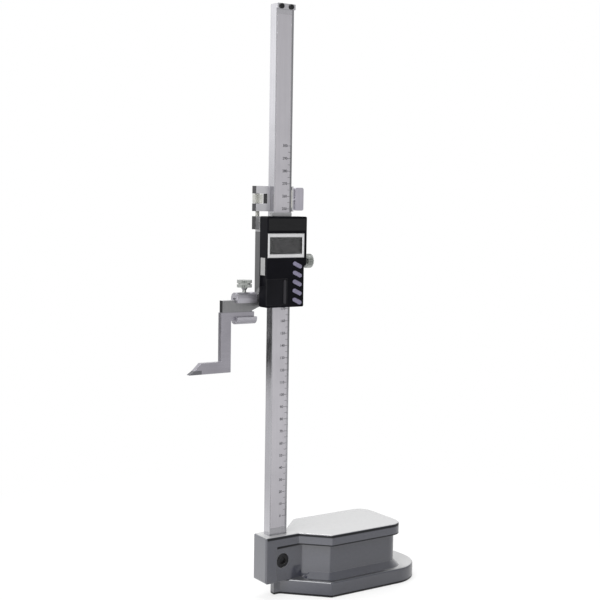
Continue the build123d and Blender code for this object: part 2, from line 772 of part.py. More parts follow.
leg_right = scriber_left + scriber_leg
foot_top = scriber_zero + scriber_foot_height
bevel_start = scriber_left - scriber_foot_reach
tip_point = bevel_start - scriber_bevel
tip_right = tip_point + tip_length
tip_top = scriber_zero + tip_height
tip_left = tip_point + tip_nose
with BuildPart() as scriber:
    with BuildSketch(Plane.XZ):
        with BuildLine():
            Polyline((leg_right, scriber_zero), (leg_right, shank_bottom),
                     (scriber_left + scriber_shank_length, shank_bottom),
                     (scriber_left + scriber_shank_length, scriber_top), (scriber_left, scriber_top),
                     (scriber_left, foot_top), (bevel_start, foot_top), (tip_left, tip_top),
                     (tip_right, tip_top), (tip_right, scriber_zero), close=True)
        make_face()
    extrude(amount=scriber_side, both=True)
save(scriber.part, "scriber")

with BuildPart() as scriber_tip:
    with BuildSketch(Plane.XZ):
        with BuildLine():
            Polyline((tip_point, scriber_zero), (tip_right, scriber_zero), (tip_right, tip_top),
                     (tip_left, tip_top), close=True)
        make_face()
    extrude(amount=scriber_side, both=True)
save(scriber_tip.part, "scriber_tip")

# ---------------------------------------------------------------- display unit
cover_left = display_left
cover_right = display_left + battery_cover_width
cover_bottom = display_bottom + battery_cover_from_bottom
cover_top = cover_bottom + battery_cover_height
cover_back = display_front + battery_cover_thickness
battery_x = (cover_left + display_wall + cover_right) / 2
battery_z = (cover_bottom + cover_top) / 2
battery_front = cover_back + free_clearance
well_radius = battery_diameter / 2 + free_clearance
well_back = battery_front + battery_thickness + contact_thickness + seat_clearance
button_x = display_right - button_from_right
button_spots = [(button_x, display_bottom + button_bottom + i * button_pitch)
                for i in range(button_count)]
panel_top = display_top - top_panel_from_top
panel_bottom = panel_top - top_panel_height
port_top = display_top - port_from_top
port_back = display_back - port_from_back
port_front = port_back - port_width
port_bottom = port_top - port_height
port_middle = (port_front + port_back) / 2


def button_shape(grow=0.0):
    """The slanted outline of a button, on the display's front."""
    with BuildSketch() as outline:
        SlotOverall(button_length + 2 * grow, button_width + 2 * grow, rotation=button_slant)
    return outline.sketch


def case_shape():
    """Outline of the display's case from the front, narrower below the step on its right."""
    with BuildSketch() as outline:
        with BuildLine():
            Polyline((display_left, display_bottom), (display_narrow_right, display_bottom),
                     (display_narrow_right, display_step_z),
                     (display_right, display_step_z + display_step),
                     (display_right, display_top), (display_left, display_top), close=True)
        make_face()
    return outline.sketch


with BuildPart() as display_housing:
    with BuildSketch(Plane.XZ.offset(-display_back)) as case_outline:
        add(case_shape())
        fillet(case_outline.vertices(), radius=display_corner)
    extrude(amount=display_depth)
    fillet(display_housing.faces().sort_by(Axis.Y)[0].edges(), radius=display_corner / 2)
    # hollow from the back, round the battery's block
    with BuildSketch(Plane.XZ.offset(-display_back)):
        offset(case_shape(), amount=-display_wall)
        rectangle_between((display_left, display_bottom),
                          (cover_right + display_wall, cover_top + display_wall), Mode.SUBTRACT)
    extrude(amount=display_depth - front_wall, mode=Mode.SUBTRACT)
    # room for the circuit board in the battery's block, and its screw bosses
    with BuildSketch(Plane.XZ.offset(-display_back)):
        rectangle_between((display_left + display_wall, display_bottom + display_wall),
                          (cover_right + 2 * display_wall, cover_top + 2 * display_wall))
    extrude(amount=display_back - board_front, mode=Mode.SUBTRACT)
    with BuildSketch(Plane.XZ.offset(-display_back)):
        with Locations(*case_screw_spots):
            Circle(boss_diameter / 2)
    extrude(amount=display_depth - front_wall)
    with BuildSketch(Plane.XZ.offset(-display_back)):
        with Locations(*case_screw_spots):
            Circle(case_screw_diameter / 2 + seat_clearance)
    extrude(amount=case_screw_length, mode=Mode.SUBTRACT)
    # seat of the bezel, and the window through the front wall
    with BuildSketch(Plane.XZ.offset(-display_front)):
        rectangle_between((bezel_left, bezel_bottom), (bezel_right, bezel_top))
    extrude(amount=-bezel_depth, mode=Mode.SUBTRACT)
    with BuildSketch(Plane.XZ.offset(-display_front)):
        rectangle_between((view_left, view_bottom), (view_right, view_top))
    extrude(amount=-front_wall, mode=Mode.SUBTRACT)
    # seat of the bare panel above it
    with BuildSketch(Plane.XZ.offset(-display_front)):
        rectangle_between((display_left + top_panel_margin, panel_bottom),
                          (display_right - top_panel_margin, panel_top))
    extrude(amount=-top_panel_thickness, mode=Mode.SUBTRACT)
    # slots of the buttons
    with BuildSketch(Plane.XZ.offset(-display_front)):
        with Locations(*button_spots):
            add(button_shape(free_clearance / 2))
    extrude(amount=-front_wall, mode=Mode.SUBTRACT)
    # battery well and the guide of its cover, open to the left
    with BuildSketch(Plane.XZ.offset(-display_front)):
        rectangle_between((cover_left - display_wall, cover_bottom), (cover_right, cover_top))
    extrude(amount=-battery_cover_thickness - running_clearance, mode=Mode.SUBTRACT)
    with BuildSketch(Plane.XZ.offset(-display_front)):
        with Locations((battery_x, battery_z)):
            Circle(well_radius)
    extrude(amount=display_front - well_back, mode=Mode.SUBTRACT)
    # data port in the left wall, with the guide of its cover
    with BuildSketch(Plane.YZ.offset(display_left)):
        rectangle_between((port_front, port_bottom - port_cover_travel), (port_back, port_top))
    extrude(amount=port_cover_thickness + running_clearance, mode=Mode.SUBTRACT)
    with BuildSketch(Plane.YZ.offset(display_left)):
        with Locations((port_middle, (port_bottom + port_top) / 2)):
            Rectangle(port_body_width + 2 * seat_clearance, port_body_height + 2 * seat_clearance)
    extrude(amount=display_wall, mode=Mode.SUBTRACT)
save(display_housing.part, "display_housing")

with BuildPart() as display_bezel:
    with BuildSketch(Plane.XZ.offset(-display_front + bezel_proud)):
        with Locations(((bezel_left + bezel_right) / 2, (bezel_bottom + bezel_top) / 2)):
            Rectangle(bezel_width - 2 * seat_clearance, bezel_height - 2 * seat_clearance)
        rectangle_between((view_left, view_bottom), (view_right, view_top), Mode.SUBTRACT)
    extrude(amount=-bezel_proud - bezel_depth)
    chamfer(display_bezel.faces().sort_by(Axis.Y)[0].edges(), length=bezel_proud * 0.8)
save(display_bezel.part, "display_bezel")

with BuildPart() as display_window:
    with BuildSketch(Plane.XZ.offset(-display_front)):
        rectangle_between((view_left + seat_clearance, view_bottom + seat_clearance),
                          (view_right - seat_clearance, view_top - seat_clearance))
    extrude(amount=-window_thickness)
save(display_window.part, "display_window")

with BuildPart() as display_cell:
    with BuildSketch(Plane.XZ.offset(-inner_front)):
        rectangle_between((view_left - cell_border, view_bottom - cell_border),
                          (view_right + cell_border, view_top + cell_border))
    extrude(amount=-cell_thickness)
save(display_cell.part, "display_cell")

cell_back = inner_front + cell_thickness
with BuildPart() as contact_strips:
    with BuildSketch(Plane.XZ.offset(-cell_back)):
        for z in (view_bottom + cell_border, view_top - cell_border):
            with Locations(((view_left + view_right) / 2, z)):
                Rectangle(view_right - view_left - strip_width, strip_width)
    extrude(amount=cell_back - board_front)
save(contact_strips.part, "cell_contact_strips")

with BuildPart() as top_panel:
    with BuildSketch(Plane.XZ.offset(-display_front)):
        rectangle_between((display_left + top_panel_margin + seat_clearance, panel_bottom + seat_clearance),
                          (display_right - top_panel_margin - seat_clearance, panel_top - seat_clearance))
    extrude(amount=-top_panel_thickness)
save(top_panel.part, "top_panel")

with BuildPart() as circuit_board:
    with BuildSketch(Plane.XZ.offset(-board_back)):
        rectangle_between((display_left + display_wall + free_clearance,
                           display_bottom + display_wall + free_clearance),
                          (display_narrow_right - display_wall - free_clearance,
                           display_top - display_wall - free_clearance))
        with Locations(*case_screw_spots):
            Circle(boss_diameter / 2 + free_clearance, mode=Mode.SUBTRACT)
    extrude(amount=board_thickness)
save(circuit_board.part, "circuit_board")

with BuildPart() as reading_head:
    with BuildSketch(Plane.XZ.offset(-column_front + head_gap)):
        with Locations((head_x, head_bottom + head_height / 2)):
            Rectangle(head_width, head_height)
    extrude(amount=column_front - head_gap - board_back)
save(reading_head.part, "reading_head")

with BuildPart() as housing_screws:
    for x, z in case_screw_spots:
        with Locations(facing_back(channel_front - running_clearance)):
            with Locations((-x, z)):
                Cone(case_screw_diameter / 2, case_screw_rim, case_screw_cone,
                     align=(Align.CENTER, Align.CENTER, Align.MAX))
    with BuildSketch(Plane.XZ.offset(-channel_front + running_clearance + case_screw_cone)):
        with Locations(*case_screw_spots):
            Circle(case_screw_diameter / 2)
    extrude(amount=case_screw_length)
save(housing_screws.part, "housing_screws")

flange_front = inner_front + seat_clearance
pad_front = flange_front + button_flange + button_travel + free_clearance / 2
for number, spot in enumerate(reversed(button_spots), start=1):
    with BuildPart() as button:
        with BuildSketch(Plane.XZ.offset(-flange_front)):
            with Locations(spot):
                add(button_shape(button_flange))
        extrude(amount=-button_flange)
        with BuildSketch(Plane.XZ.offset(-flange_front)):
            with Locations(spot):
                add(button_shape())
        extrude(amount=flange_front - display_front + button_proud)
        fillet(button.faces().sort_by(Axis.Y)[0].edges(), radius=button_proud / 2)
    save(button.part, f"button_{number}")

with BuildPart() as key_pad:
    with BuildSketch(Plane.XZ.offset(-pad_front)):
        rectangle_between((button_x - button_length / 2 - pad_margin,
                           display_bottom + display_wall + free_clearance),
                          (display_narrow_right - display_wall - free_clearance,
                           button_spots[-1][1] + button_pitch / 2))
    extrude(amount=pad_front - board_front)
save(key_pad.part, "key_pad")

with BuildPart() as battery:
    with BuildSketch(Plane.XZ.offset(-battery_front)):
        with Locations((battery_x, battery_z)):
            Circle(battery_diameter / 2)
    extrude(amount=-battery_thickness)
    chamfer(battery.edges().filter_by(GeomType.CIRCLE), length=battery_diameter / 30)
save(battery.part, "battery")

with BuildPart() as battery_contact:
    with BuildSketch(Plane.XZ.offset(-battery_front - battery_thickness)):
        with Locations((battery_x, battery_z)):
            Rectangle(battery_diameter * 0.8, battery_diameter * 0.3)
    extrude(amount=-contact_thickness)
save(battery_contact.part, "battery_contact")

with BuildPart() as battery_cover:
    with BuildSketch(Plane.XZ.offset(-display_front)):
        rectangle_between((cover_left, cover_bottom + slide_clearance),
                          (cover_right - slide_clearance, cover_top - slide_clearance))
    extrude(amount=-battery_cover_thickness)
    # finger rib near the right end
    with BuildSketch(Plane.XZ.offset(-display_front)):
        with Locations((cover_right - battery_rib_inset, battery_z)):
            SlotOverall(battery_cover_height - 2 * battery_rib_end_gap, battery_rib_width,
                        rotation=90)
    extrude(amount=battery_rib_proud)
save(battery_cover.part, "battery_cover")

with BuildPart() as port_cover:
    with BuildSketch(Plane.YZ.offset(display_left)):
        rectangle_between((port_front + slide_clearance, port_bottom),
                          (port_back - slide_clearance, port_top - slide_clearance))
    extrude(amount=port_cover_thickness)
save(port_cover.part, "port_cover")

with BuildPart() as port_connector:
    with BuildSketch(Plane.YZ.offset(display_left + port_cover_thickness + slide_clearance)):
        with Locations((port_middle, (port_bottom + port_top) / 2)):
            Rectangle(port_body_width, port_body_height)
    extrude(amount=port_body_depth)
save(port_connector.part, "port_connector")
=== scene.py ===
import bpy, bmesh, math
from mathutils import Matrix, Vector


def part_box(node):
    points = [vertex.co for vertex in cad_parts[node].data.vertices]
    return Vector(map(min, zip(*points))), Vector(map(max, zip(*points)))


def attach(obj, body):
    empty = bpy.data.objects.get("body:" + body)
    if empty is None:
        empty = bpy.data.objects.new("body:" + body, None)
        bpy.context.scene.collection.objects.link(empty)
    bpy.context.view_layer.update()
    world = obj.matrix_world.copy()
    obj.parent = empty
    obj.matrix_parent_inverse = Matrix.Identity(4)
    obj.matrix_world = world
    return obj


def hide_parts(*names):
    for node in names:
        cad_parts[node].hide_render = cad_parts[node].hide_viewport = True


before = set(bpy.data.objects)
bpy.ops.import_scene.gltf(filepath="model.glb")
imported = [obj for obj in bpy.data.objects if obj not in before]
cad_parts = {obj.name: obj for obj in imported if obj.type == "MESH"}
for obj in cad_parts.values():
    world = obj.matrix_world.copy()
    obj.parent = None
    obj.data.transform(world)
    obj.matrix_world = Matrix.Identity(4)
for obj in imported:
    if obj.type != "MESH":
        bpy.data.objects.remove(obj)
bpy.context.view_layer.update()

# Lengths are millimetres in the CAD frame: +X from the nose to the hand grip, -Y the display's
# side, +Z up the column. At rest a CAD node's own coordinates are that same frame, in metres.
MM = 0.001
X, Y, Z = range(3)
FAR = 1000.0
LOW = {name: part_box(name)[0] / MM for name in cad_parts}
HIGH = {name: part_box(name)[1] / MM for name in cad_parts}


# ------------------------------------------------------------------ shader nodes
class Graph:
    """Short calls for the nodes of one tree. A value is a socket, a number or a tuple."""

    def __init__(self, tree):
        self.tree = tree

    def node(self, kind, **settings):
        made = self.tree.nodes.new(kind)
        for key, value in settings.items():
            setattr(made, key, value)
        return made

    def feed(self, socket, value):
        """Link a socket into another one, or set a constant. A colour comes without its alpha."""
        if hasattr(value, "links"):
            self.tree.links.new(value, socket)
        elif socket.type == "RGBA":
            socket.default_value = (*value, 1.0)
        else:
            socket.default_value = value

    def fill(self, made, **values):
        """Feed several inputs of a node, each named with _ for a space."""
        for key, value in values.items():
            self.feed(made.inputs[key.replace("_", " ")], value)
        return made

    def math(self, operation, *values):
        """Combine two or more values, one after the other."""
        result = values[0]
        for value in values[1:]:
            made = self.node("ShaderNodeMath", operation=operation)
            self.feed(made.inputs[0], result)
            self.feed(made.inputs[1], value)
            result = made.outputs[0]
        return result

    def spread(self, value, low, high, out_low=0.0, out_high=1.0, interpolation="LINEAR"):
        """Turn low..high into out_low..out_high, held at both ends."""
        made = self.node("ShaderNodeMapRange", interpolation_type=interpolation)
        self.fill(made, Value=value, From_Min=low, From_Max=high, To_Min=out_low, To_Max=out_high)
        return made.outputs["Result"]

    def ease(self, value, low, high, out_low=0.0, out_high=1.0):
        """Spread with a soft start and end."""
        return self.spread(value, low, high, out_low, out_high, "SMOOTHSTEP")

    def axes(self, vector):
        split = self.node("ShaderNodeSeparateXYZ")
        self.feed(split.inputs[0], vector)
        return split.outputs


class Shader(Graph):
    """A principled material, laid out in the node's own coordinates."""

    def __init__(self, name):
        self.material = bpy.data.materials.new(name)
        self.material.use_nodes = True
        super().__init__(self.material.node_tree)
        self.bsdf = next(n for n in self.tree.nodes if n.type == "BSDF_PRINCIPLED")
        self.place = self.node("ShaderNodeTexCoord").outputs["Object"]
        self.normal = self.node("ShaderNodeNewGeometry").outputs["Normal"]

    def put(self, **values):
        self.fill(self.bsdf, **values)

    def stretch(self, scale, rotation=(0, 0, 0)):
        mapping = self.node("ShaderNodeMapping")
        return self.fill(mapping, Vector=self.place, Scale=scale, Rotation=rotation).outputs[0]

    def texture(self, kind, vector=None, **values):
        made = self.node("ShaderNodeTex" + kind)
        return self.fill(made, Vector=vector or self.place, **values)

    def noise(self, scale, detail=3.0, roughness=0.55, vector=None):
        made = self.texture("Noise", vector, Scale=scale, Detail=detail, Roughness=roughness)
        return made.outputs["Fac"]

    def mix(self, factor, a, b):
        made = self.node("ShaderNodeMix", data_type="RGBA")
        for index, value in ((0, factor), (6, a), (7, b)):      # factor and the two colours
            self.feed(made.inputs[index], value)
        return made.outputs[2]

    def between(self, value, low, high, rise, fall):
        """1 from low to high, fading to 0 over rise below them and over fall above, all in mm."""
        return self.math("MULTIPLY", self.spread(value, (low - rise) * MM, low * MM),
                         self.spread(value, (high + fall) * MM, high * MM))

    def rounded(self, radius):
        """The normal as if the edges were rounded by a radius in mm."""
        made = self.node("ShaderNodeBevel", samples=4)
        return self.fill(made, Radius=radius * MM).outputs["Normal"]

    def worn(self, base, radius, amount, colour):
        """base with its sharp edges shifted towards colour, partly wear and partly a painted
        highlight.
        """
        dot = self.node("ShaderNodeVectorMath", operation="DOT_PRODUCT")
        self.feed(dot.inputs[0], self.rounded(radius))
        self.feed(dot.inputs[1], self.normal)
        edge = self.spread(dot.outputs["Value"], 0.995, 0.85)
        return self.mix(self.math("MULTIPLY", edge, amount), base, colour)

    def relief(self, *layers, rounding=0.25):
        """Bump from (height, distance in mm, strength), over slightly rounded edges."""
        normal = self.rounded(rounding) if rounding else None
        for height, distance, strength in layers:
            bump = self.node("ShaderNodeBump")
            self.fill(bump, Height=height, Distance=distance * MM, Strength=strength)
            if normal is not None:
                self.fill(bump, Normal=normal)
            normal = bump.outputs["Normal"]
        self.put(Normal=normal)


def tint(colour, share, lift=0.0):
    return tuple(min(c * share + lift, 1.0) for c in colour)


# ------------------------------------------------------------------ materials
# noise scales that draw the noise out into fine lines along one axis
LINES = {"x": (60.0, 3000.0, 3000.0), "z": (3000.0, 3000.0, 60.0)}


def ground_steel(name, colour, roughness, along, contrast, worn=0.5, smudge=0.10, metallic=1.0,
                 painted_shades=()):
    """Ground steel: fine lines along one axis, faint smudges, edges brighter from wear and a
    painted highlight.

    Each painted shade is (facing axis, measured axis, low, high, depth): faces looking towards
    minus the first axis are painted darker by depth between low and high on the second, as painted
    shade and dark reflection."""
    s = Shader(name)
    lines = s.noise(1.0, 4.0, 0.7, s.stretch(LINES[along]))
    coarse = s.noise(1.0, 2.0, 0.5, s.stretch(tuple(v * 0.22 for v in LINES[along])))
    blotch = s.noise(38.0, 4.0, 0.6)
    dark = tint(colour, 1 - 2 * contrast)
    base = s.mix(s.spread(lines, 0.3, 0.7), dark, tint(colour, 1 + contrast))
    base = s.mix(s.spread(coarse, 0.35, 0.65, 0.0, 0.55), base, dark)
    base = s.mix(s.spread(blotch, 0.42, 0.75, 0.0, smudge * 2), base, tint(colour, 0.72))
    base = s.worn(base, 0.35, worn, tint(colour, 1.35, 0.1))
    for facing, measured, low, high, depth in painted_shades:
        # painted shade and painted dark reflection, mixed towards near black
        looking = s.spread(s.axes(s.normal)[facing], -0.6, -0.8, 0.0, depth)
        inside = s.between(s.axes(s.place)[measured], low + 0.1, high - 0.1, 0.2, 0.2)
        base = s.mix(s.math("MULTIPLY", looking, inside), base, (0.008, 0.008, 0.010))
    s.put(Base_Color=base, Metallic=metallic,
          Roughness=s.math("ADD", s.spread(lines, 0.3, 0.7, roughness - 0.06, roughness + 0.08),
                           s.spread(blotch, 0.45, 0.75, 0.0, 0.10)))
    s.relief((lines, 0.02, 0.35), (coarse, 0.03, 0.15))
    return s.material


def turned_steel(name, colour, roughness):
    """Turned bright steel: fine marks of the tool and small flecks."""
    s = Shader(name)
    marks = s.noise(2600.0, 2.0, 0.5)
    fleck = s.noise(240.0, 5.0, 0.65)
    base = s.mix(s.spread(fleck, 0.3, 0.7), tint(colour, 0.78), colour)
    # edges paler from wear and a painted highlight
    s.put(Base_Color=s.worn(base, 0.25, 0.6, tint(colour, 1.3, 0.08)), Metallic=1.0,
          Roughness=s.spread(marks, 0.3, 0.7, roughness - 0.05, roughness + 0.1))
    s.relief((marks, 0.015, 0.25), rounding=0.2)
    return s.material


def black_oxide(name):
    """Blackened steel, paler in places from rubbing, its edges paler from wear and a painted
    highlight.
    """
    s = Shader(name)
    grain = s.noise(900.0, 4.0, 0.6)
    wear = s.noise(150.0, 4.0, 0.6)
    base = s.mix(s.spread(wear, 0.45, 0.7), (0.016, 0.016, 0.018), (0.035, 0.035, 0.037))
    s.put(Base_Color=s.worn(base, 0.3, 0.5, (0.22, 0.21, 0.21)), Metallic=0.7,
          Roughness=s.spread(grain, 0.3, 0.7, 0.30, 0.48))
    s.relief((grain, 0.02, 0.3), rounding=0.2)
    return s.material


def moulded(name, colour, roughness, grain=0.35, depth=0.25, worn=0.35, shine=0.5, pale_level=None):
    """Moulded plastic: fine spark-eroded grain in mm, faint handling marks, edges paler from wear
    and a painted highlight.

    The last argument is a level on Y: what stands in front of it is paler."""
    s = Shader(name)
    sparks = s.noise(1.0 / (grain * MM), 3.0, 0.6)
    marks = s.noise(45.0, 5.0, 0.6)
    base = s.mix(s.spread(marks, 0.35, 0.75), tint(colour, 0.82), tint(colour, 1.18, 0.002))
    base = s.worn(base, 0.35, worn, tint(colour, 1.8, 0.05))
    if pale_level is not None:
        in_front = s.spread(s.axes(s.place)[Y], pale_level * MM, (pale_level - 0.1) * MM)
        base = s.mix(in_front, base, (0.035, 0.034, 0.038))
    s.put(Base_Color=base, Specular_IOR_Level=shine,
          Roughness=s.math("ADD", s.spread(sparks, 0.3, 0.7, roughness - 0.06, roughness + 0.06),
                           s.spread(marks, 0.5, 0.8, 0.0, 0.08)))
    s.relief((sparks, 0.03, depth))
    return s.material


def casting_paint(name):
    """Smooth gloss enamel on a casting, with a painted highlight where it lies level and painted
    dark lines, bare and lapped underneath.
    """
    nose, top = LOW["base_casting"].x, HIGH["base_casting"].z
    s = Shader(name)
    x, y, tall = s.axes(s.place)
    orange_peel = s.texture("Voronoi", Scale=300.0)
    orange_peel.feature = "SMOOTH_F1"
    fleck = s.noise(420.0, 4.0, 0.6)
    broad = s.noise(16.0, 4.0, 0.55)
    paint = s.mix(s.spread(fleck, 0.35, 0.70, 0.0, 0.5),
                  (0.032, 0.034, 0.052), (0.044, 0.046, 0.064))
    paint = s.mix(s.spread(broad, 0.35, 0.70, 0.0, 0.5), paint, (0.030, 0.032, 0.040))
    # edges paler from wear and a painted highlight
    paint = s.worn(paint, 0.8, 0.35, (0.20, 0.20, 0.21))
    # painted shade and painted dark reflection: dark lines with less coat below the top's edge,
    # under the flange and along the foot
    lines = [s.math("MULTIPLY", s.between(tall, low, high, 0.8, 0.5),
                    s.spread(x, (start - 0.5) * MM, start * MM))
             for low, high, start in ((top - 2.1, top - 0.9, nose + 1.5),
                                      (top - 10.4, top - 8.7, nose + 11.0),
                                      (-1.0, 1.8, nose - 1.0))]
    painted_dark_lines = s.math("MAXIMUM", *lines)
    paint = s.mix(painted_dark_lines, paint, (0.004, 0.004, 0.006))
    # painted highlight: level faces are painted paler as if lit from above, but the strip of the
    # foot in front of the waist only a little paler
    strip = s.math("MULTIPLY", s.spread(tall, 20 * MM, 18 * MM), s.spread(y, 4 * MM, -4 * MM),
                   s.spread(x, 50 * MM, 30 * MM))
    level = s.spread(s.axes(s.normal)[Z], 0.70, 0.92)
    paint = s.mix(level, paint, s.mix(strip, (0.37, 0.37, 0.375), (0.06, 0.062, 0.068)))
    # the lapped rim and land, on the plane the gauge stands on
    lapped = s.spread(tall, 0.15 * MM, 0.05 * MM)
    scrape = s.noise(1.0, 4.0, 0.65, s.stretch((220.0, 2600.0, 220.0), (0, 0, 0.6)))
    steel = s.mix(s.spread(scrape, 0.3, 0.7), (0.33, 0.33, 0.34), (0.55, 0.55, 0.56))
    s.put(Base_Color=s.mix(lapped, paint, steel), Metallic=lapped, Specular_IOR_Level=0.3,
          Roughness=s.spread(fleck, 0.3, 0.7, 0.34, 0.44),
          Coat_Weight=s.spread(painted_dark_lines, 0.0, 1.0, 1.0, 0.0), Coat_Roughness=0.08, Coat_IOR=1.85)
    s.relief((orange_peel.outputs["Distance"], 0.05, 0.22), (fleck, 0.03, 0.15),
             (broad, 0.4, 0.10), rounding=0.8)
    return s.material


def rubber(name, colour):
    """Matt silicone with a faint bloom."""
    s = Shader(name)
    grain = s.noise(1400.0, 3.0, 0.6)
    bloom = s.noise(90.0, 4.0, 0.6)
    s.put(Base_Color=s.mix(s.spread(bloom, 0.35, 0.7), tint(colour, 0.8), tint(colour, 1.15)),
          Roughness=s.spread(grain, 0.3, 0.7, 0.62, 0.82))
    s.relief((grain, 0.04, 0.3), rounding=0.2)
    return s.material


def brass(name):
    """Drawn brass with patches of tarnish."""
    s = Shader(name)
    lines = s.noise(1.0, 3.0, 0.6, s.stretch((2400.0, 2400.0, 90.0)))
    tarnish = s.noise(160.0, 5.0, 0.6)
    s.put(Base_Color=s.mix(s.spread(tarnish, 0.35, 0.7), (0.62, 0.44, 0.19), (0.42, 0.30, 0.14)),
          Metallic=1.0, Roughness=s.spread(lines, 0.3, 0.7, 0.26, 0.42))
    s.relief((lines, 0.02, 0.3), rounding=0.15)
    return s.material


def board(name):
    """Green solder mask with faint tracks under it."""
    s = Shader(name)
    tracks = s.texture("Brick", s.stretch((1, 1, 1), (math.pi / 2, 0, 0)), Scale=260.0,
                       Mortar_Size=0.05, Mortar=(0.035, 0.19, 0.07),
                       Color1=(0.012, 0.085, 0.035), Color2=(0.015, 0.105, 0.042))
    s.put(Base_Color=tracks.outputs["Color"],
          Roughness=s.spread(s.noise(700.0), 0.3, 0.7, 0.24, 0.36))
    s.relief((tracks.outputs["Fac"], 0.02, 0.3), rounding=0.1)
    return s.material


def glass(name):
    """A thin clear pane with faint smears."""
    s = Shader(name)
    smear = s.noise(160.0, 4.0, 0.6)
    s.put(Base_Color=s.mix(s.spread(smear, 0.4, 0.7), (0.80, 0.80, 0.81), (0.88, 0.88, 0.89)),
          Transmission_Weight=1.0, IOR=1.32,
          Roughness=s.spread(smear, 0.4, 0.75, 0.02, 0.07))
    s.relief((smear, 0.01, 0.05), rounding=0.1)
    return s.material


def printed(name, colour):
    """Ink with a fine grain."""
    s = Shader(name)
    ink = s.noise(3000.0, 3.0, 0.6)
    s.put(Base_Color=s.mix(s.spread(ink, 0.3, 0.7), tint(colour, 0.75), tint(colour, 1.3, 0.004)),
          Roughness=s.spread(ink, 0.3, 0.7, 0.37, 0.53))
    s.relief((ink, 0.01, 0.2), rounding=0)
    return s.material


def gloss_inlay(name, colour):
    """A bare gloss plate with very fine hairline brushing under its lacquer."""
    s = Shader(name)
    hair = s.noise(1.0, 3.0, 0.6, s.stretch(LINES["x"]))
    cloud = s.noise(60.0, 3.0, 0.5)
    base = s.mix(s.spread(hair, 0.3, 0.7), tint(colour, 0.8), tint(colour, 1.2))
    s.put(Base_Color=s.mix(s.spread(cloud, 0.4, 0.7, 0.0, 0.4), base, tint(colour, 1.35)),
          Roughness=s.spread(cloud, 0.3, 0.7, 0.10, 0.17), Specular_IOR_Level=0.14)
    s.relief((hair, 0.006, 0.15), rounding=0.15)
    return s.material


def liquid_crystal(name):
    """A fine grid under glass, inside a black border that is painted shade from the bezel."""
    s = Shader(name)
    grid = s.texture("Checker", Scale=4200.0,
                     Color1=(0.020, 0.020, 0.021), Color2=(0.024, 0.024, 0.0245))
    cloud = s.noise(45.0, 3.0, 0.5)
    base = s.mix(s.spread(cloud, 0.35, 0.7, 0.0, 0.5), grid.outputs["Color"],
                 (0.030, 0.030, 0.030))
    # painted shade: a black border inside the bezel, along X and Z
    for axis, shade_border in ((X, 1.8), (Z, 1.4)):
        inside = s.between(s.axes(s.place)[axis], LOW["display_cell"][axis] + shade_border,
                           HIGH["display_cell"][axis] - shade_border, 0.2, 0.2)
        base = s.mix(inside, (0.004, 0.004, 0.005), base)
    s.put(Base_Color=base, Roughness=s.spread(cloud, 0.3, 0.7, 0.22, 0.32))
    s.relief((cloud, 0.05, 0.05), rounding=0.1)
    return s.material


# painted shade and painted dark reflection on faces of the slider and the carriage that mirror
# something dark beside the camera
END_BAND = 0.3                  # the lug and the carriage end in line, within this width
LUG_DROP = 12.5                 # from the top of the case to the underside of the lug
WEB_BAND = 0.2
RIB_HEIGHT = 0.5                # finger rib of the battery cover, along Y
left_ends = LOW["carriage_body"].x + END_BAND
lug_low = HIGH["display_housing"].z - LUG_DROP
jaw_top = LOW["scriber_clamp_pad"].z
web_left = HIGH["fine_adjust_nut"].x - WEB_BAND
rib_back = LOW["battery_cover"].y + RIB_HEIGHT
slider_painted_shades = (
    (X, X, -FAR, left_ends, 0.9),               # ends of the lug and the jaw, painted dark reflection
    (X, Z, 0, lug_low, 0.7),                    # left face below the lug, painted dark reflection
    (Y, Z, 0, jaw_top, 0.45))                   # front of the jaw, painted shade
carriage_painted_shades = (
    (X, X, -FAR, left_ends, 0.9),               # ends of the fork, painted dark reflection
    (X, X, web_left, 0, 0.97))                  # the window's inner wall, painted shade

